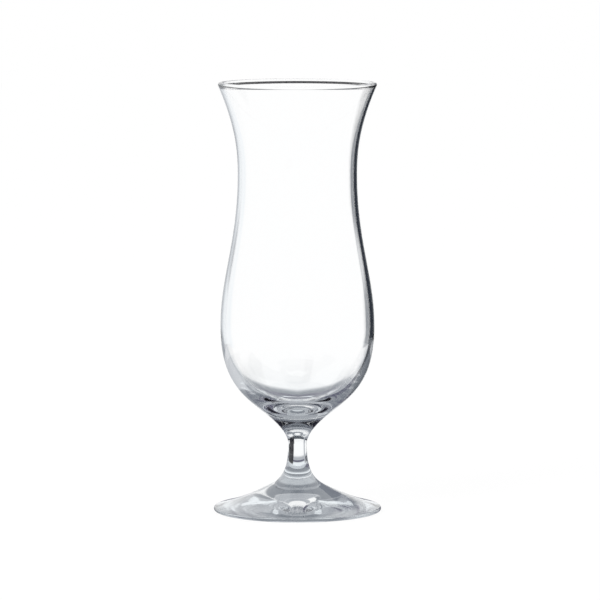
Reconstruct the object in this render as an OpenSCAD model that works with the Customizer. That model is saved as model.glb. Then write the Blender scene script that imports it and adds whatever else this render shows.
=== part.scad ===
// Hurricane glass: a tall footed cocktail glass with a waisted, flared bowl.
// Millimetres. The origin is on the table under the centre of the foot and +Z points up.
// The bowl, the stem and the foot are made one by one and fused end to end while hot,
// so they meet face to face on flat round joints.

/* [Bowl] */
// Height of the whole glass, table to the top of the lip
glass_h = 206; // [192:0.5:225]
// Outer diameter over the rounded lip
rim_d = 76; // [70:0.5:88]
// Lean of the wall below the lip, degrees from upright
rim_flare = 22.5; // [12:0.5:30]
// Diameter of the fire-rounded lip
lip_t = 2.2; // [1.8:0.1:3]
// Length over which the wall swells inwards into the lip
lip_run = 1.6; // [1.2:0.1:4]
// Wall thickness below the lip
rim_t = 1.3; // [1:0.1:1.8]
// Outer diameter at the waist
waist_d = 57.2; // [48:0.1:64]
// Height of the waist above the table
waist_z = 162; // [150:0.5:172]
// Wall thickness at the waist
wall_t = 1.6; // [1.2:0.1:2.4]
// Outer diameter at the belly
belly_d = 74; // [68:0.5:86]
// Height of the belly above the table
belly_z = 89; // [80:0.5:104]
// Wall thickness at the belly
belly_t = 2; // [1.4:0.1:3.2]
// Height of the inside bottom above the table
cavity_z = 50; // [47:0.5:56]

/* [Stem] */
// Diameter of the joint between bowl and stem
head_d = 20; // [16:0.5:25]
// Height of the joint between bowl and stem
head_z = 42; // [39:0.5:46]
// Lean of the outline at that joint, degrees from upright
head_lean = 44.5; // [36:0.5:54]
// Diameter of the neck, the thinnest place of the stem
neck_d = 9; // [7.5:0.1:12]
// Height of the neck above the table
neck_z = 32.3; // [29:0.1:36]
// Diameter of the joint between stem and foot
tail_d = 25; // [20:0.5:32]
// Height of the joint between stem and foot
tail_z = 12.6; // [11:0.1:15]
// Slope of the outline at that joint, degrees above level
tail_slope = 28; // [20:0.5:36]

/* [Foot] */
// Diameter of the foot
foot_d = 80.5; // [72:0.5:92]
// Thickness of the rounded edge of the foot
edge_t = 1.8; // [1.4:0.1:3.5]
// Slope of the top of the foot behind its edge, degrees above level
edge_slope = 14; // [6:0.5:18]
// Inner diameter of the flat ring that the glass stands on
rest_d = 60; // [40:0.5:66]
// Height of the hollow under the middle of the foot
hollow_h = 1.6; // [0.8:0.1:3]

/* [Curves] */
// Each of these is the share of the way to the next station of the outline over which
// the outline holds its direction. At the joint of bowl and stem, upwards
bowl_pull = 0.3; // [0.2:0.01:0.4]
// At the belly, downwards
belly_low_pull = 0.59; // [0.4:0.01:0.7]
// At the belly, upwards
belly_pull = 0.33; // [0.2:0.01:0.5]
// At the waist, downwards
waist_low_pull = 0.44; // [0.25:0.01:0.55]
// At the waist, upwards
waist_pull = 0.29; // [0.2:0.01:0.5]
// At the lip, downwards
lip_pull = 0.47; // [0.25:0.01:0.55]
// On the inside where the wall starts to swell, upwards
swell_pull = 0.4; // [0.25:0.01:0.5]
// On the inside of the lip, downwards
bead_pull = 0.2; // [0.1:0.01:0.4]
// On the inside of the belly, downwards
cavity_pull = 0.62; // [0.45:0.01:0.7]
// At the middle of the inside bottom, outwards
floor_pull = 0.15; // [0.1:0.01:0.4]
// At the joint of stem and bowl, downwards
head_pull = 0.39; // [0.25:0.01:0.45]
// At the neck, upwards
neck_pull = 0.26; // [0.2:0.01:0.45]
// At the neck, downwards
neck_low_pull = 0.41; // [0.25:0.01:0.55]
// At the joint of stem and foot, upwards
tail_pull = 0.37; // [0.25:0.01:0.5]
// At the joint of foot and stem, outwards
foot_pull = 0.45; // [0.3:0.01:0.6]
// At the edge of the foot, inwards
edge_pull = 0.36; // [0.25:0.01:0.5]
// At both ends of the hollow under the foot
hollow_pull = 0.35; // [0.2:0.01:0.5]

/* [Hidden] */
$fn = 96;
// Straight steps in each curve of an outline
steps = 18;
up = [0, 1];
out = [1, 0];
lip_r = lip_t / 2;
lip_c = [rim_d / 2 - lip_r, glass_h - lip_r];
lip_up = [sin(rim_flare), cos(rim_flare)];
lip_out = [cos(rim_flare), -sin(rim_flare)];
waist = [waist_d / 2, waist_z];
belly = [belly_d / 2, belly_z];
head = [head_d / 2, head_z];
head_up = [sin(head_lean), cos(head_lean)];
neck = [neck_d / 2, neck_z];
tail = [tail_d / 2, tail_z];
tail_up = [-cos(tail_slope), sin(tail_slope)];
edge_r = edge_t / 2;
edge_c = [foot_d / 2 - edge_r, edge_r];
edge_up = [-cos(edge_slope), sin(edge_slope)];

// Points of a smooth curve that leaves p along u and reaches q along v, without p itself.
// a and b are the shares of the distance over which it holds those directions.
function curve(p, u, a, q, v, b) =
    let (d = norm(q - p), pa = p + u * d * a, qb = q - v * d * b)
    [for (i = [1 : steps])
        let (t = i / steps, s = 1 - t)
        s * s * s * p + 3 * s * s * t * pa + 3 * s * t * t * qb + t * t * t * q];

// Points of an arc about c from angle a0 to angle a1, without its first point.
function arc(c, r, a0, a1) =
    [for (i = [1 : steps])
        let (a = a0 + (a1 - a0) * i / steps)
        c + r * [cos(a), sin(a)]];

module turned(outline) {
    rotate_extrude() polygon(outline);
}

// Thin waisted wall on a thick solid base. The lip is flush outside and swells inwards.
module bowl() {
    half_lip = lip_out * lip_r;
    root = lip_c + half_lip - lip_up * lip_run;
    inner_root = root - lip_out * rim_t;
    inner_waist = waist - out * wall_t;
    inner_belly = belly - out * belly_t;
    color([0.86, 0.9, 0.92, 0.5])
    turned(concat(
        [[0, head_z], head],
        curve(head, head_up, bowl_pull, belly, up, belly_low_pull),
        curve(belly, up, belly_pull, waist, up, waist_low_pull),
        curve(waist, up, waist_pull, root, lip_up, lip_pull),
        [lip_c + half_lip],
        arc(lip_c, lip_r, -rim_flare, 180 - rim_flare),
        curve(lip_c - half_lip, -lip_up, bead_pull, inner_root, -lip_up, swell_pull),
        curve(inner_root, -lip_up, lip_pull, inner_waist, -up, waist_pull),
        curve(inner_waist, -up, waist_low_pull, inner_belly, -up, belly_pull),
        curve(inner_belly, -up, cavity_pull, [0, cavity_z], -out, floor_pull)));
}

// Solid spool between the base of the bowl and the top of the foot
module stem() {
    color([0.8, 0.86, 0.9, 0.5])
    turned(concat(
        [[0, tail_z], tail],
        curve(tail, tail_up, tail_pull, neck, up, neck_low_pull),
        curve(neck, up, neck_pull, head, head_up, head_pull),
        [[0, head_z]]));
}

// Low cone with a rounded edge, hollowed a little underneath so that it stands on a ring
module foot() {
    edge_top = edge_c + edge_r * [sin(edge_slope), cos(edge_slope)];
    color([0.74, 0.82, 0.88, 0.5])
    turned(concat(
        [[0, hollow_h]],
        curve([0, hollow_h], out, hollow_pull, [rest_d / 2, 0], out, hollow_pull),
        [[edge_c[0], 0]],
        arc(edge_c, edge_r, -90, 90 - edge_slope),
        curve(edge_top, edge_up, edge_pull, tail, tail_up, foot_pull),
        [[0, tail_z]]));
}

bowl();
stem();
foot();
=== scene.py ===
"""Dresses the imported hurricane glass: its clear bowl, stem and foot, and the studio they stand in."""

import math

import bpy
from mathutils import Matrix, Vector


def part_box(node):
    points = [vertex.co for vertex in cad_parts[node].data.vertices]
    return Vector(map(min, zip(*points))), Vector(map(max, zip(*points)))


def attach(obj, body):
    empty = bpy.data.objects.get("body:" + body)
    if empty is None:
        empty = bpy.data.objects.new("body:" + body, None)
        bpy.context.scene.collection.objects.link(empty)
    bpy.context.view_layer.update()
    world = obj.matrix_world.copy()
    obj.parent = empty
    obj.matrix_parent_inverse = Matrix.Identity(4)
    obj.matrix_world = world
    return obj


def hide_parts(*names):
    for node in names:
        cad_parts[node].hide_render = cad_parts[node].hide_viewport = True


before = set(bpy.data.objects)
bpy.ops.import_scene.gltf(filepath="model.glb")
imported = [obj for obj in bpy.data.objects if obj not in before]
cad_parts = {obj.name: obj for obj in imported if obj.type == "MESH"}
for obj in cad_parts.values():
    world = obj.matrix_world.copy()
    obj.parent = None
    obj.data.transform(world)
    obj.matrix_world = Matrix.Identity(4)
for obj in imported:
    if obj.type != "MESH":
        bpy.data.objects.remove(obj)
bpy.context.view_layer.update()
BOWL_LOW, BOWL_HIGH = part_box("bowl")
STEM_LOW, STEM_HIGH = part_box("stem")
FOOT_LOW, FOOT_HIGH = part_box("foot")

bl_info = {
    "name": "Hurricane Glass",
    "version": (1, 0, 0),
    "blender": (4, 5, 0),
    "location": "3D View > Sidebar > Glass",
    "description": "Models a footed cocktail glass and a plain studio around it",
    "category": "Add Mesh",
}

UP = Vector((0, 1))
OUT = Vector((1, 0))
MM = 1000.0
# Points on each curve of an outline, and faces round the axis
STEPS = 30
SEGMENTS = 224
# Points closer than MERGE become one, and a face within FLAT of a joint lies on it
MERGE = 0.000002
FLAT = 0.000001
# Bends sharper than this stay sharp
SHARP = math.radians(25)


def length(name, description, default):
    """A size in metres that the panel shows in the scene's own unit."""
    return bpy.props.FloatProperty(
        name=name, description=description, default=default, min=0.0, unit="LENGTH", precision=4
    )


def angle(name, description, degrees):
    """An angle that the panel shows in degrees."""
    return bpy.props.FloatProperty(
        name=name, description=description, default=math.radians(degrees), subtype="ANGLE"
    )


def share(name, description, default):
    """A share from nothing to all."""
    return bpy.props.FloatProperty(
        name=name, description=description, default=default, min=0.0, max=1.0, subtype="FACTOR"
    )


def colour(name, description, default):
    """A colour as light, with no picker curve on it."""
    return bpy.props.FloatVectorProperty(
        name=name, description=description, default=default, min=0.0, max=1.0, size=3, subtype="COLOR"
    )


class BowlSizes(bpy.types.PropertyGroup):
    """Stations of the bowl's outline."""

    glass_h: length("Height", "Table to the top of the lip", BOWL_HIGH[2])
    rim_d: length("Rim", "Outer diameter over the lip", BOWL_HIGH[0] - BOWL_LOW[0])
    rim_flare: angle("Rim flare", "Lean of the wall below the lip, from upright", 22.5)
    lip_t: length("Lip", "Diameter of the fire-rounded lip", 0.0022)
    lip_run: length("Lip run", "Length over which the wall swells inwards into the lip", 0.0016)
    rim_t: length("Rim wall", "Wall thickness below the lip", 0.0013)
    waist_d: length("Waist", "Outer diameter at the waist", 0.0572)
    waist_z: length("Waist height", "Height of the waist above the table", 0.162)
    wall_t: length("Wall", "Wall thickness at the waist", 0.0016)
    belly_d: length("Belly", "Outer diameter at the belly", 0.074)
    belly_z: length("Belly height", "Height of the belly above the table", 0.089)
    belly_t: length("Belly wall", "Wall thickness at the belly", 0.002)
    cavity_z: length("Inside bottom", "Height of the inside bottom above the table", 0.05)
    bowl_pull: share("Base hold", "Hold of the outline at the stem joint, upwards", 0.3)
    belly_low_pull: share("Belly hold down", "Hold of the outline at the belly, downwards", 0.59)
    belly_pull: share("Belly hold up", "Hold of the outline at the belly, upwards", 0.33)
    waist_low_pull: share("Waist hold down", "Hold of the outline at the waist, downwards", 0.44)
    waist_pull: share("Waist hold up", "Hold of the outline at the waist, upwards", 0.29)
    lip_pull: share("Lip hold", "Hold of the outline at the lip, downwards", 0.47)
    swell_pull: share("Swell hold", "Hold of the inner outline where it starts to swell", 0.4)
    bead_pull: share("Bead hold", "Hold of the inner outline where it meets the lip", 0.2)
    cavity_pull: share("Cavity hold", "Hold of the inner outline at the belly, downwards", 0.62)
    floor_pull: share("Inside bottom hold", "Hold of the outline at the inside bottom", 0.15)


class StemSizes(bpy.types.PropertyGroup):
    """Stations of the stem's outline."""

    head_d: length("Top joint", "Diameter of the joint with the bowl", 0.02)
    head_z: length("Top joint height", "Height of the joint with the bowl", STEM_HIGH[2])
    head_lean: angle("Top lean", "Lean of the outline at the joint with the bowl, from upright", 44.5)
    neck_d: length("Neck", "Diameter at the thinnest place", 0.009)
    neck_z: length("Neck height", "Height of the thinnest place", 0.0323)
    tail_d: length("Bottom joint", "Diameter of the joint with the foot", STEM_HIGH[0] - STEM_LOW[0])
    tail_z: length("Bottom joint height", "Height of the joint with the foot", STEM_LOW[2])
    tail_slope: angle("Bottom slope", "Slope of the outline at the joint with the foot, from level", 28)
    head_pull: share("Top hold", "Hold of the outline at the joint with the bowl", 0.39)
    neck_pull: share("Neck hold up", "Hold of the outline at the neck, upwards", 0.26)
    neck_low_pull: share("Neck hold down", "Hold of the outline at the neck, downwards", 0.41)
    tail_pull: share("Bottom hold", "Hold of the outline at the joint with the foot", 0.37)


class FootSizes(bpy.types.PropertyGroup):
    """Stations of the foot's outline."""

    foot_d: length("Foot", "Diameter of the foot", FOOT_HIGH[0] - FOOT_LOW[0])
    edge_t: length("Edge", "Thickness of the rounded edge", 0.0018)
    edge_slope: angle("Edge slope", "Slope of the top behind the edge, from level", 14)
    rest_d: length("Rest ring", "Inner diameter of the ring that the glass stands on", 0.06)
    hollow_h: length("Hollow", "Height of the hollow under the middle", 0.0016)
    foot_pull: share("Joint hold", "Hold of the outline at the joint with the stem", 0.45)
    edge_pull: share("Edge hold", "Hold of the outline at the edge", 0.36)
    hollow_pull: share("Hollow hold", "Hold of the outline at both ends of the hollow", 0.35)


class ClearGlass(bpy.types.PropertyGroup):
    """Finish of the glass."""

    tint: colour("Tint", "Colour of the glass where it is thickest", (0.97, 0.985, 0.992))
    clear: colour("Clear", "Colour of the glass where it is thin", (0.998, 0.999, 1.0))
    ior: bpy.props.FloatProperty(name="IOR", description="Refraction of soda-lime glass", default=1.52)
    tint_low: length("Tint from", "Height up to which the glass has all its tint", 0.0483)
    tint_high: length("Tint to", "Height from which the glass is clear", 0.0765)
    wave: length("Waviness", "Depth of the slow waves that blowing leaves in the wall", 0.000012)
    scuff: share("Scuffs", "Roughness of the fine scratches on the ring it stands on", 0.22)
    scuff_h: length("Scuff height", "Height up to which the ring is scuffed", 0.0002)


class Studio(bpy.types.PropertyGroup):
    """Floor, panels, lamp and camera."""

    floor: colour("Floor", "Paper that the glass stands on", (0.8, 0.8, 0.8))
    sweep: length("Sweep", "Width of the paper", 8.0)
    drop: length("Drop", "Gap under the glass that keeps the paper's face apart from it", 0.00005)
    shadow: share("Shadow", "Share of the paper's white that the lamp gives and a shadow takes", 0.1)
    table_d: length("Table", "Diameter of the paper that the glass shows; the surround follows", 0.6)
    # The paper's rings are painted shade round the foot, seen only through the glass
    shade_ring_spread: length("Ring spread", "How much wider the paper's rings are per radian to the side", 0.1)
    shade_ring_turn: angle("Ring turn", "Bearing up to which the rings grow wider", 20)
    # These greys tone the panels of the surround; on the paper close to the glass they also paint its
    # shade, and the pale ones its light under the foot
    flag: colour("Flag", "Black panels, which give the glass its dark edges", (0.008, 0.008, 0.012))
    canopy: colour("Canopy", "Nearly black panels", (0.04, 0.05, 0.065))
    card: colour("Card", "Dark grey panels", (0.1, 0.1, 0.15))
    dusk: colour("Dusk", "Deep grey panels, lighter than card", (0.22, 0.24, 0.27))
    felt: colour("Felt", "Grey panels, lighter than dusk", (0.36, 0.38, 0.41))
    cloth: colour("Cloth", "Middle grey panels", (0.44, 0.46, 0.49))
    linen: colour("Linen", "Grey panels, lighter than cloth", (0.52, 0.55, 0.58))
    scrim: colour("Scrim", "Light grey panels", (0.63, 0.65, 0.68))
    veil: colour("Veil", "Pale panels, just short of white", (0.88, 0.92, 0.95))
    card_back: length("Card distance", "Distance from the axis to the black card behind the lip", 1.0)
    card_near: share("Card front", "Where the black card starts, as a share of its distance", 0.8)
    card_lift: length("Card lift", "Height of the black card's lower edge above the lip", 0.07)
    lamp_w: length("Lamp width", "Width of the soft lamp", 0.5)
    lamp_l: length("Lamp length", "Length of the soft lamp", 0.7)
    lamp_power: bpy.props.FloatProperty(
        name="Lamp power", description="Power of the soft lamp", default=6.0, min=0.0, unit="POWER"
    )
    lamp_left: length("Lamp left", "How far left of the axis the lamp hangs", 0.75)
    lamp_front: length("Lamp front", "How far in front of the axis the lamp hangs", 0.75)
    lamp_h: length("Lamp height", "Height of the lamp above the table", 0.85)
    lamp_aim_z: length("Lamp aim", "Height on the axis that the lamp points at", 0.1)
    camera_back: length("Camera distance", "Level distance from the axis to the camera", 1.9)
    camera_h: length("Camera height", "Height of the camera above the table", 0.301)
    aim_z: length("Aim height", "Height that the camera looks at", 0.1016)
    aim_x: length("Aim side", "How far right of the axis the camera looks", 0.0012)
    lens: bpy.props.FloatProperty(name="Lens", description="Focal length", default=238.98, unit="CAMERA")


class Line:
    """One output of a shader node; sums on lines add Math nodes to their tree."""

    def __init__(self, tree, socket=None):
        self.tree = tree
        self.socket = socket

    def node(self, kind, settings=None, sockets=None):
        """Adds a node: its settings first, then the values or lines of its sockets."""
        made = self.tree.nodes.new(kind)
        for key, value in (settings or {}).items():
            setattr(made, key, value)
        for key, value in (sockets or {}).items():
            if isinstance(value, Line):
                self.tree.links.new(value.socket, made.inputs[key])
            else:
                made.inputs[key].default_value = value
        return Line(self.tree, made.outputs[0] if made.outputs else None)

    def out(self, name):
        """Another output of the same node."""
        return Line(self.tree, self.socket.node.outputs[name])

    def math(self, operation, first, second=0.0):
        """A Math node on one or two values."""
        return self.node("ShaderNodeMath", {"operation": operation}, {0: first, 1: second})

    def __sub__(self, other):
        return self.math("SUBTRACT", self, other)

    def __rsub__(self, other):
        return self.math("SUBTRACT", other, self)

    def __mul__(self, other):
        return self.math("MULTIPLY", self, other)

    __rmul__ = __mul__

    def ramp(self, low, high):
        """0 up to low, 1 from high on, and smooth between them."""
        return self.node(
            "ShaderNodeMapRange",
            {"interpolation_type": "SMOOTHSTEP"},
            {"Value": self, "From Min": low, "From Max": high},
        )

    def band(self, low, high, soft):
        """1 from low to high, 0 beyond them, with soft edges."""
        return self.ramp(low - soft, low + soft) * (1.0 - self.ramp(high - soft, high + soft))

    def mix(self, factor, first, second):
        """first where factor is 0 and second where it is 1, as colours."""
        made = self.node(
            "ShaderNodeMix",
            {"data_type": "RGBA", "clamp_factor": True},
            {0: factor, 6: first, 7: second},
        )
        return Line(self.tree, made.socket.node.outputs[2])


def full(rgb):
    """A colour with its alpha."""
    return (*rgb, 1.0)


def blank(owner):
    """A line on the node tree of a material or a world, with every node taken out."""
    owner.use_nodes = True
    owner.node_tree.nodes.clear()
    return Line(owner.node_tree)


def bearing(line, split):
    """Degrees to the right of straight behind the glass."""
    return line.math("ARCTAN2", split.out("X"), split.out("Y")) * math.degrees(1)


def seen_by_glass(line, path):
    """1 for a ray that comes off the glass or out of it."""
    return line.math("MAXIMUM", path.out("Is Transmission Ray"), path.out("Is Glossy Ray"))


def curve(start, away, hold, end, towards, end_hold):
    """Points of a smooth curve that leaves start along away and reaches end along towards,
    without start itself. The holds are the shares of the distance over which it keeps them."""
    reach = (end - start).length
    first = start + away * reach * hold
    last = end - towards * reach * end_hold
    points = []
    for step in range(1, STEPS + 1):
        t = step / STEPS
        s = 1 - t
        points.append(s**3 * start + 3 * s * s * t * first + 3 * s * t * t * last + t**3 * end)
    return points


def arc(centre, radius, first, last):
    """Points of an arc from angle first to angle last, without its first point."""
    points = []
    for step in range(1, STEPS + 1):
        turn = first + (last - first) * step / STEPS
        points.append(centre + radius * Vector((math.cos(turn), math.sin(turn))))
    return points


def turned(name, outline):
    """Draws an outline from axis to axis point by point and spins it into a closed solid."""
    bpy.ops.object.select_all(action="DESELECT")
    start = outline[0]
    bpy.ops.mesh.primitive_plane_add(size=0.001, enter_editmode=True, location=(0, 0, 0))
    bpy.ops.mesh.merge(type="CENTER")
    bpy.ops.transform.translate(value=(start.x, 0, start.y))
    for before, after in zip(outline, outline[1:]):
        step = after - before
        bpy.ops.mesh.extrude_region_move(TRANSFORM_OT_translate={"value": (step.x, 0, step.y)})
    bpy.ops.mesh.select_all(action="SELECT")
    bpy.ops.mesh.spin(steps=SEGMENTS, angle=math.tau, center=(0, 0, 0), axis=(0, 0, 1))
    bpy.ops.mesh.select_all(action="SELECT")
    bpy.ops.mesh.remove_doubles(threshold=MERGE)
    bpy.ops.mesh.normals_make_consistent(inside=False)
    bpy.ops.object.mode_set(mode="OBJECT")
    piece = bpy.context.active_object
    piece.name = name
    piece.data.name = name
    bpy.ops.object.shade_smooth_by_angle(angle=SHARP)
    return piece


def clear_glass():
    """Clear soda-lime glass: slow waves in the wall, a cool tint in the thick parts, scuffs underneath."""
    made = bpy.data.materials.get("clear_glass")
    if made:
        return made
    look = bpy.context.scene.hurricane_look
    made = bpy.data.materials.new("clear_glass")
    line = blank(made)
    place = line.node("ShaderNodeTexCoord").out("Object")
    height = line.node("ShaderNodeSeparateXYZ", None, {0: place}).out("Z")
    waves = line.node(
        "ShaderNodeTexNoise", None, {"Vector": place, "Scale": 42.0, "Detail": 1.0, "Roughness": 0.4}
    )
    scratches = line.node(
        "ShaderNodeTexNoise", None, {"Vector": place, "Scale": 2600.0, "Detail": 2.0, "Roughness": 0.6}
    )
    underside = 1.0 - height.ramp(look.scuff_h * 0.5, look.scuff_h * 1.5)
    thick = 1.0 - height.ramp(look.tint_low, look.tint_high)
    tint = line.mix(thick, full(look.clear), full(look.tint))
    bump = line.node("ShaderNodeBump", None, {"Strength": 1.0, "Distance": look.wave, "Height": waves})
    body = line.node(
        "ShaderNodeBsdfPrincipled",
        None,
        {
            "Base Color": tint,
            "Roughness": underside * scratches.ramp(0.45, 0.7) * look.scuff,
            "IOR": look.ior,
            "Transmission Weight": 1.0,
            "Normal": bump,
        },
    )
    line.node("ShaderNodeOutputMaterial", None, {"Surface": body})
    return made


def weld():
    """The fused joint inside the glass, where nothing shows."""
    made = bpy.data.materials.get("weld")
    if made:
        return made
    made = bpy.data.materials.new("weld")
    line = blank(made)
    gone = line.node("ShaderNodeBsdfTransparent")
    line.node("ShaderNodeOutputMaterial", None, {"Surface": gone})
    return made


def finish_glass(piece, node, joints):
    """Gives a piece its glass, welds its faces at the joint heights, hangs it under the root body and hides
    its CAD node.
    """
    piece.data.materials.append(clear_glass())
    piece.data.materials.append(weld())
    points = piece.data.vertices
    for face in piece.data.polygons:
        heights = [points[index].co.z for index in face.vertices]
        on_joint = any(all(abs(z - joint) < FLAT for z in heights) for joint in joints)
        face.material_index = 1 if on_joint else 0
    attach(piece, "root")
    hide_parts(node)


class HURRICANE_OT_bowl(bpy.types.Operator):
    """Models the waisted bowl with its rounded lip and thick base"""

    bl_idname = "hurricane.bowl"
    bl_label = "Bowl"

    def execute(self, context):
        size = context.scene.hurricane_bowl
        stem = context.scene.hurricane_stem
        lip_r = size.lip_t / 2
        lip = Vector((size.rim_d / 2 - lip_r, size.glass_h - lip_r))
        lip_up = Vector((math.sin(size.rim_flare), math.cos(size.rim_flare)))
        lip_out = Vector((lip_up.y, -lip_up.x))
        half_lip = lip_out * lip_r
        root = lip + half_lip - lip_up * size.lip_run
        inner_root = root - lip_out * size.rim_t
        waist = Vector((size.waist_d / 2, size.waist_z))
        belly = Vector((size.belly_d / 2, size.belly_z))
        head = Vector((stem.head_d / 2, stem.head_z))
        head_up = Vector((math.sin(stem.head_lean), math.cos(stem.head_lean)))
        inner_waist = waist - OUT * size.wall_t
        inner_belly = belly - OUT * size.belly_t
        bottom = Vector((0, size.cavity_z))
        outline = [
            Vector((0, stem.head_z)),
            head,
            *curve(head, head_up, size.bowl_pull, belly, UP, size.belly_low_pull),
            *curve(belly, UP, size.belly_pull, waist, UP, size.waist_low_pull),
            *curve(waist, UP, size.waist_pull, root, lip_up, size.lip_pull),
            lip + half_lip,
            *arc(lip, lip_r, -size.rim_flare, math.pi - size.rim_flare),
            *curve(lip - half_lip, -lip_up, size.bead_pull, inner_root, -lip_up, size.swell_pull),
            *curve(inner_root, -lip_up, size.lip_pull, inner_waist, -UP, size.waist_pull),
            *curve(inner_waist, -UP, size.waist_low_pull, inner_belly, -UP, size.belly_pull),
            *curve(inner_belly, -UP, size.cavity_pull, bottom, -OUT, size.floor_pull),
        ]
        finish_glass(turned("glass_bowl", outline), "bowl", [stem.head_z])
        return {"FINISHED"}


class HURRICANE_OT_stem(bpy.types.Operator):
    """Models the solid spool between bowl and foot"""

    bl_idname = "hurricane.stem"
    bl_label = "Stem"

    def execute(self, context):
        size = context.scene.hurricane_stem
        tail = Vector((size.tail_d / 2, size.tail_z))
        tail_up = Vector((-math.cos(size.tail_slope), math.sin(size.tail_slope)))
        neck = Vector((size.neck_d / 2, size.neck_z))
        head = Vector((size.head_d / 2, size.head_z))
        head_up = Vector((math.sin(size.head_lean), math.cos(size.head_lean)))
        outline = [
            Vector((0, size.tail_z)),
            tail,
            *curve(tail, tail_up, size.tail_pull, neck, UP, size.neck_low_pull),
            *curve(neck, UP, size.neck_pull, head, head_up, size.head_pull),
            Vector((0, size.head_z)),
        ]
        finish_glass(turned("glass_stem", outline), "stem", [size.tail_z, size.head_z])
        return {"FINISHED"}


class HURRICANE_OT_foot(bpy.types.Operator):
    """Models the low cone that the glass stands on"""

    bl_idname = "hurricane.foot"
    bl_label = "Foot"

    def execute(self, context):
        size = context.scene.hurricane_foot
        stem = context.scene.hurricane_stem
        edge_r = size.edge_t / 2
        edge = Vector((size.foot_d / 2 - edge_r, edge_r))
        edge_up = Vector((-math.cos(size.edge_slope), math.sin(size.edge_slope)))
        edge_top = edge + edge_r * Vector((math.sin(size.edge_slope), math.cos(size.edge_slope)))
        tail = Vector((stem.tail_d / 2, stem.tail_z))
        tail_up = Vector((-math.cos(stem.tail_slope), math.sin(stem.tail_slope)))
        hollow = Vector((0, size.hollow_h))
        outline = [
            hollow,
            *curve(hollow, OUT, size.hollow_pull, Vector((size.rest_d / 2, 0)), OUT, size.hollow_pull),
            Vector((edge.x, 0)),
            *arc(edge, edge_r, -math.pi / 2, math.pi / 2 - size.edge_slope),
            *curve(edge_top, edge_up, size.edge_pull, tail, tail_up, size.foot_pull),
            Vector((0, stem.tail_z)),
        ]
        finish_glass(turned("glass_foot", outline), "foot", [stem.tail_z])
        return {"FINISHED"}


WHITE = (1.0, 1.0, 1.0, 1.0)
BOUNCES = 32
# Ends of the scales, a little past them so that no soft edge shows there
NADIR, TOP = -95, 95
BEHIND = 185
WIDE = 400
# Softness of a panel's level edges, and of the sides of a panel on the paper, in degrees
EDGE = 1.5
# What the glass shows of the surround, by the way that light takes through it. Each panel: first and last
# bearing to the right of straight behind, lowest and highest elevation, softness of its upright edges, all
# in degrees, and its tone.
SKY = {
    # Straight through one thick piece
    "solid": (
        (-BEHIND, BEHIND, 20, TOP, 2, "canopy"),
        (14, 45, NADIR, 66, 1, "flag"),
        (-42, -30, NADIR, 66, 2, "cloth"),
    ),
    # With one reflection inside it
    "once": (
        (-60, -22, NADIR, 0, 2, "veil"),
        (-22, 10, NADIR, 0, 2, "linen"),
        (-38, 24, -1.5, 14, 2, "dusk"),
        (-38, -15, 14, 22, 2, "dusk"),
        (-15, 38, 14, 36, 2, "cloth"),
        (-40, 40, 36, 46, 2, "cloth"),
        (10, 57, NADIR, 0, 1, "canopy"),
    ),
    # With two or three
    "twice": (
        (-BEHIND, BEHIND, NADIR, TOP, 2, "cloth"),
        (-90, 90, 4, 36, 2, "dusk"),
        (-BEHIND, -110, 6, 46, 2, "card"),
        (-40, -10, NADIR, -2, 2, "scrim"),
        (10, 40, NADIR, -2, 2, "flag"),
    ),
    # With several
    "deep": (
        (-BEHIND, BEHIND, NADIR, TOP, 2, "cloth"),
        (-85, 85, 2, 36, 2, "felt"),
        (-120, -58, 2, 16, 2, "dusk"),
        (-85, -46, 17, 38, 2, "veil"),
        (-46, -34, 2, 36, 2, "cloth"),
        (32, 46, 2, 12, 2, "cloth"),
        (34, 46, 12, 30, 2, "dusk"),
        (46, 75, 16, 50, 2, "veil"),
        (-60, 60, 36, 55, 2, "canopy"),
        (-BEHIND, BEHIND, 55, TOP, 2, "dusk"),
        (-40, -10, NADIR, -2, 2, "scrim"),
        (10, 40, NADIR, -2, 2, "flag"),
    ),
    # Along the wall of the bowl, with many
    "guided": (
        (-BEHIND, BEHIND, NADIR, TOP, 2, "dusk"),
        (-120, -85, 14, 36, 2, "scrim"),
        (85, BEHIND, NADIR, 30, 2, "scrim"),
        (82, 98, 12, 22, 2, "veil"),
        (56, 80, 14, 24, 2, "card"),
        (-74, -56, 2, 14, 2, "card"),
        (0, BEHIND, 36, TOP, 2, "card"),
        (-BEHIND, BEHIND, 60, TOP, 2, "flag"),
    ),
    # Through both walls of the bowl
    "walls": (
        (10.5, 19, NADIR, 66, 0.5, "felt"),
        (19, 118, NADIR, 66, 1, "flag"),
        (-45, -9, -15, 12, 1, "veil"),
    ),
    # Through both with reflections
    "ghosts": (
        (-36, -10, -9, 4, 2, "cloth"),
        (-10, 10, -9, 4, 2, "scrim"),
        (38, 85, 22, 78, 2, "dusk"),
        (-120, -85, 36, 66, 2, "cloth"),
        (-BEHIND, -120, 54, 68, 2, "felt"),
        (120, BEHIND, 54, 68, 2, "felt"),
        (-BEHIND, BEHIND, 66, TOP, 2, "dusk"),
    ),
    # Through three walls or more
    "far": ((9.5, 118, NADIR, 66, 1, "dusk"),),
    # Through three or more with reflections
    "high": (
        (-48, -25, -9, 6, 2, "flag"),
        (-BEHIND, BEHIND, 66, TOP, 2, "dusk"),
    ),
    # Off the outside
    "mirrored": (
        (13, 56, -60, 2, 1, "flag"),
        (-34, -10, -20, 2, 1, "scrim"),
        (-8, 14, 36, 46, 2, "felt"),
        (10, 24, 2, 36, 2, "card"),
        (-BEHIND, -120, 54, 80, 2, "card"),
        (120, BEHIND, 54, 80, 2, "card"),
    ),
}
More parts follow.
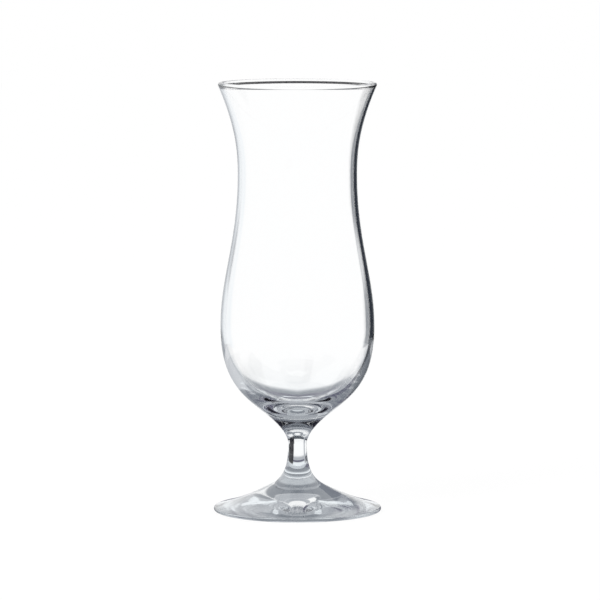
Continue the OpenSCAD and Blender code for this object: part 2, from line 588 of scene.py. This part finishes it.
# The same for the paper, as the glass sees it: its rings are painted shade round the foot, its dark wedges
# are painted shade towards the black flags, and its pale rings are painted light under the foot. Each
# panel: near and far radius in millimetres, first and last bearing in degrees,
# # softness of its round edges in millimetres, and its tone.
PAPER_PAINTED_SHADE = {
    "solid": (
        (-WIDE, 97, -BEHIND, BEHIND, 12, "cloth"),
        (60, 71, -BEHIND, BEHIND, 2, "card"),
        (-WIDE, 57, -BEHIND, BEHIND, 5, "veil"),
        (45, WIDE, 16, 56, 5, "flag"),
        (-WIDE, WIDE, -40, -30, 5, "cloth"),
        (41, 80, -58, -40, 3, "flag"),
    ),
    "once": (
        (-WIDE, 100, -95, 95, 20, "cloth"),
        (-WIDE, WIDE, -40, -14, 5, "scrim"),
        (-WIDE, 97, -40, -14, 12, "dusk"),
        (95, WIDE, -60, -40, 10, "linen"),
        (-WIDE, WIDE, -14, 20, 5, "felt"),
        (-WIDE, WIDE, 20, 40, 5, "flag"),
        (-WIDE, 115, 20, 40, 15, "card"),
        (115, WIDE, 40, 57, 15, "scrim"),
        (-WIDE, 42, -BEHIND, BEHIND, 3, "card"),
        (-WIDE, 42, -50, 50, 3, "veil"),
        (-WIDE, 13, -BEHIND, BEHIND, 5, "dusk"),
        (45, 130, 155, 168, 30, "flag"),
    ),
    "twice": (
        (-WIDE, WIDE, -BEHIND, BEHIND, 5, "cloth"),
        (32, 42, -10, 10, 3, "linen"),
        (-WIDE, 32, -BEHIND, BEHIND, 3, "dusk"),
    ),
    "deep": (
        (-WIDE, WIDE, -BEHIND, BEHIND, 5, "cloth"),
        (16, 30, -58, -18, 2, "dusk"),
        (30, 42, -60, -15, 2, "veil"),
        (30, 42, 18, 60, 2, "veil"),
        (16, 32, 8, 20, 2, "veil"),
        (30, 42, -12, -1, 2, "card"),
    ),
    "guided": (
        (-WIDE, WIDE, -BEHIND, BEHIND, 5, "cloth"),
        (-WIDE, 42, -BEHIND, BEHIND, 3, "veil"),
    ),
    "walls": (
        (-WIDE, 88, -BEHIND, BEHIND, 15, "felt"),
        (-WIDE, 72, -BEHIND, BEHIND, 10, "dusk"),
        (-WIDE, 56, -BEHIND, BEHIND, 6, "card"),
        (-WIDE, 41, -BEHIND, BEHIND, 2, "veil"),
    ),
    "ghosts": ((-WIDE, 42, -BEHIND, BEHIND, 3, "cloth"),),
    "far": ((-WIDE, 90, -BEHIND, BEHIND, 15, "card"),),
    "high": (),
    "mirrored": (
        (-WIDE, 60, -BEHIND, BEHIND, 5, "cloth"),
        (-WIDE, 110, -110, 110, 17, "card"),
        (115, WIDE, 22, 58, 15, "flag"),
        (110, WIDE, -85, -20, 15, "cloth"),
        (60, 200, -125, -78, 60, "flag"),
    ),
}


class HURRICANE_OT_stage(bpy.types.Operator):
    """Sets up the paper floor, the white surround with its dark flags, the lamp and the camera"""

    bl_idname = "hurricane.stage"
    bl_label = "Studio"

    def execute(self, context):
        scene = context.scene
        studio = scene.hurricane_studio
        self.lay_floor(studio)
        self.hang_card(scene, studio)
        self.hang_surround(scene, studio)
        self.place_lamp(studio)
        self.place_camera(scene, studio)
        scene.view_settings.view_transform = "Standard"
        for limit in ("max_bounces", "glossy_bounces", "transmission_bounces", "transparent_max_bounces"):
            setattr(scene.cycles, limit, BOUNCES)
        return {"FINISHED"}

    def hang(self, line, studio, across, along, panels):
        """Hangs panels one over another on white."""
        shown = WHITE
        for first, last, low, high, soft, tone in panels:
            part = across.band(first, last, soft) * along.band(low, high, EDGE)
            shown = line.mix(part, shown, full(getattr(studio, tone)))
        return shown

    def choose(self, line, views):
        """Picks the view that a ray shows by how often it was refracted and reflected on its way."""
        path = line.node("ShaderNodeLightPath")
        both = line.math("GREATER_THAN", path.out("Transmission Depth"), 3)
        more = line.math("GREATER_THAN", path.out("Transmission Depth"), 5)
        turns = path.out("Glossy Depth")
        straight = line.mix(both, views["solid"], line.mix(more, views["walls"], views["far"]))
        inside = views["once"]
        for least, name in ((2, "twice"), (4, "deep"), (7, "guided")):
            inside = line.mix(line.math("GREATER_THAN", turns, least - 1), inside, views[name])
        inside = line.mix(both, inside, line.mix(more, views["ghosts"], views["high"]))
        through = line.mix(line.math("GREATER_THAN", turns, 0), straight, inside)
        return line.mix(path.out("Is Transmission Ray"), views["mirrored"], through)

    def lay_floor(self, studio):
        """Pale paper, white to the camera, with the soft shadow of the glass kept. To the glass it shows
        painted shade in rings round the foot and in dark wedges, and paler painted light under the foot,
        within the table only.
        """
        bpy.ops.object.select_all(action="DESELECT")
        bpy.ops.mesh.primitive_plane_add(size=studio.sweep, location=(0, 0, -studio.drop))
        bpy.ops.object.transform_apply(location=True, rotation=False, scale=False)
        paper = bpy.context.active_object
        paper.name = "paper_floor"
        made = bpy.data.materials.new("paper")
        line = blank(made)
        path = line.node("ShaderNodeLightPath")
        place = line.node("ShaderNodeTexCoord").out("Object")
        split = line.node("ShaderNodeSeparateXYZ", None, {0: place})
        turn = bearing(line, split)
        reach = line.node("ShaderNodeVectorMath", {"operation": "LENGTH"}, {0: place}).out("Value") * MM
        # Bows the painted shade rings of the view through both walls wider to the sides
        aside = line.math("MINIMUM", line.math("ABSOLUTE", turn), math.degrees(studio.shade_ring_turn))
        shade_ring_reach = reach - aside * (math.radians(1) * studio.shade_ring_spread * MM)
        views = {}
        for name, panels in PAPER_PAINTED_SHADE.items():
            views[name] = self.hang(line, studio, shade_ring_reach if name == "walls" else reach, turn, panels)
        # What the glass sees of the paper glows: painted shade rings and wedges near the foot, paler
        # painted light under it, white further out
        seen = line.node("ShaderNodeEmission", None, {"Color": self.choose(line, views)})
        gone = line.node("ShaderNodeBsdfTransparent")
        beyond = line.math("GREATER_THAN", reach, studio.table_d / 2 * MM)
        glass = line.node("ShaderNodeMixShader", None, {0: beyond, 1: seen, 2: gone})
        lit = line.node("ShaderNodeBsdfDiffuse", None, {"Color": full([studio.shadow] * 3)})
        glow = line.node("ShaderNodeEmission", None, {"Color": WHITE, "Strength": 1.0 - studio.shadow})
        white = line.node("ShaderNodeAddShader", None, {0: lit, 1: glow})
        plain = line.node("ShaderNodeBsdfDiffuse", None, {"Color": full(studio.floor)})
        direct = line.node("ShaderNodeMixShader", None, {0: path.out("Is Camera Ray"), 1: plain, 2: white})
        floor = line.node("ShaderNodeMixShader", None, {0: seen_by_glass(line, path), 1: direct, 2: glass})
        line.node("ShaderNodeOutputMaterial", None, {"Surface": floor})
        paper.data.materials.append(made)

    def hang_card(self, scene, studio):
        """A black card far behind the glass, above its lip, that draws the dark line of the far lip."""
        lip_z = scene.hurricane_bowl.glass_h
        bpy.ops.object.select_all(action="DESELECT")
        bpy.ops.mesh.primitive_uv_sphere_add(
            segments=64, ring_count=48, radius=studio.card_back, location=(0, 0, lip_z)
        )
        bpy.ops.object.transform_apply(location=True, rotation=False, scale=False)
        bpy.ops.object.mode_set(mode="EDIT")
        front = (0, studio.card_near * studio.card_back, 0)
        low = (0, 0, lip_z + studio.card_lift)
        for cut, side in ((front, (0, 1, 0)), (low, (0, 0, 1))):
            bpy.ops.mesh.select_all(action="SELECT")
            bpy.ops.mesh.bisect(plane_co=cut, plane_no=side, clear_inner=True)
        bpy.ops.object.mode_set(mode="OBJECT")
        card = bpy.context.active_object
        card.name = "back_card"
        card.visible_camera = False
        card.visible_diffuse = False
        card.visible_glossy = False
        card.visible_shadow = False
        made = bpy.data.materials.new("back_card")
        line = blank(made)
        path = line.node("ShaderNodeLightPath")
        one_piece = line.math("LESS_THAN", path.out("Transmission Depth"), 4)
        unmirrored = line.math("LESS_THAN", path.out("Glossy Depth"), 1)
        far_side = line.math("LESS_THAN", path.out("Ray Length"), studio.card_back)
        black = line.node("ShaderNodeEmission", None, {"Color": full(studio.flag)})
        gone = line.node("ShaderNodeBsdfTransparent")
        shows = far_side * one_piece * unmirrored
        face = line.node("ShaderNodeMixShader", None, {0: shows, 1: gone, 2: black})
        line.node("ShaderNodeOutputMaterial", None, {"Surface": face})
        card.data.materials.append(made)

    def hang_surround(self, scene, studio):
        """White all round, with the panels that the glass shows and mirrors."""
        world = bpy.data.worlds.new("surround")
        scene.world = world
        line = blank(world)
        path = line.node("ShaderNodeLightPath")
        way = line.node("ShaderNodeTexCoord").out("Generated")
        split = line.node("ShaderNodeSeparateXYZ", None, {0: way})
        turn = bearing(line, split)
        rise = line.math("ARCSINE", split.out("Z")) * math.degrees(1)
        views = {name: self.hang(line, studio, turn, rise, panels) for name, panels in SKY.items()}
        shown = line.mix(seen_by_glass(line, path), WHITE, self.choose(line, views))
        back = line.node("ShaderNodeBackground", None, {"Color": shown, "Strength": 1.0})
        line.node("ShaderNodeOutputWorld", None, {"Surface": back})

    def place_lamp(self, studio):
        """One large soft lamp, high on the left in front."""
        lamp = bpy.data.objects.new("soft_lamp", bpy.data.lights.new("soft_lamp", "AREA"))
        lamp.data.shape = "RECTANGLE"
        lamp.data.size = studio.lamp_w
        lamp.data.size_y = studio.lamp_l
        lamp.data.energy = studio.lamp_power
        lamp.location = (-studio.lamp_left, -studio.lamp_front, studio.lamp_h)
        lamp.visible_glossy = False
        lamp.visible_transmission = False
        aim = Vector((0, 0, studio.lamp_aim_z))
        lamp.rotation_euler = (aim - lamp.location).to_track_quat("-Z", "Y").to_euler()
        bpy.context.collection.objects.link(lamp)

    def place_camera(self, scene, studio):
        """A long lens that looks down a little, as in the photograph."""
        camera = bpy.data.objects.new("camera", bpy.data.cameras.new("camera"))
        camera.data.lens = studio.lens
        camera.data.sensor_fit = "HORIZONTAL"
        camera.location = (0, -studio.camera_back, studio.camera_h)
        aim = Vector((studio.aim_x, 0, studio.aim_z))
        camera.rotation_euler = (aim - camera.location).to_track_quat("-Z", "Y").to_euler()
        bpy.context.collection.objects.link(camera)
        scene.camera = camera


class HURRICANE_PT_panel(bpy.types.Panel):
    """Lists the pieces of the glass in the order in which they are made"""

    bl_idname = "HURRICANE_PT_panel"
    bl_label = "Hurricane glass"
    bl_space_type = "VIEW_3D"
    bl_region_type = "UI"
    bl_category = "Glass"

    def draw(self, context):
        for operator in OPERATORS:
            self.layout.operator(operator.bl_idname)


GROUPS = {
    "hurricane_bowl": BowlSizes,
    "hurricane_stem": StemSizes,
    "hurricane_foot": FootSizes,
    "hurricane_look": ClearGlass,
    "hurricane_studio": Studio,
}
OPERATORS = (HURRICANE_OT_foot, HURRICANE_OT_stem, HURRICANE_OT_bowl, HURRICANE_OT_stage)


def register():
    for name, group in GROUPS.items():
        bpy.utils.register_class(group)
        setattr(bpy.types.Scene, name, bpy.props.PointerProperty(type=group))
    for operator in OPERATORS:
        bpy.utils.register_class(operator)
    bpy.utils.register_class(HURRICANE_PT_panel)


def unregister():
    bpy.utils.unregister_class(HURRICANE_PT_panel)
    for operator in reversed(OPERATORS):
        bpy.utils.unregister_class(operator)
    for name, group in reversed(GROUPS.items()):
        delattr(bpy.types.Scene, name)
        bpy.utils.unregister_class(group)


def main():
    register()
    bpy.ops.hurricane.foot()
    bpy.ops.hurricane.stem()
    bpy.ops.hurricane.bowl()
    bpy.ops.hurricane.stage()


if __name__ == "__main__":
    main()
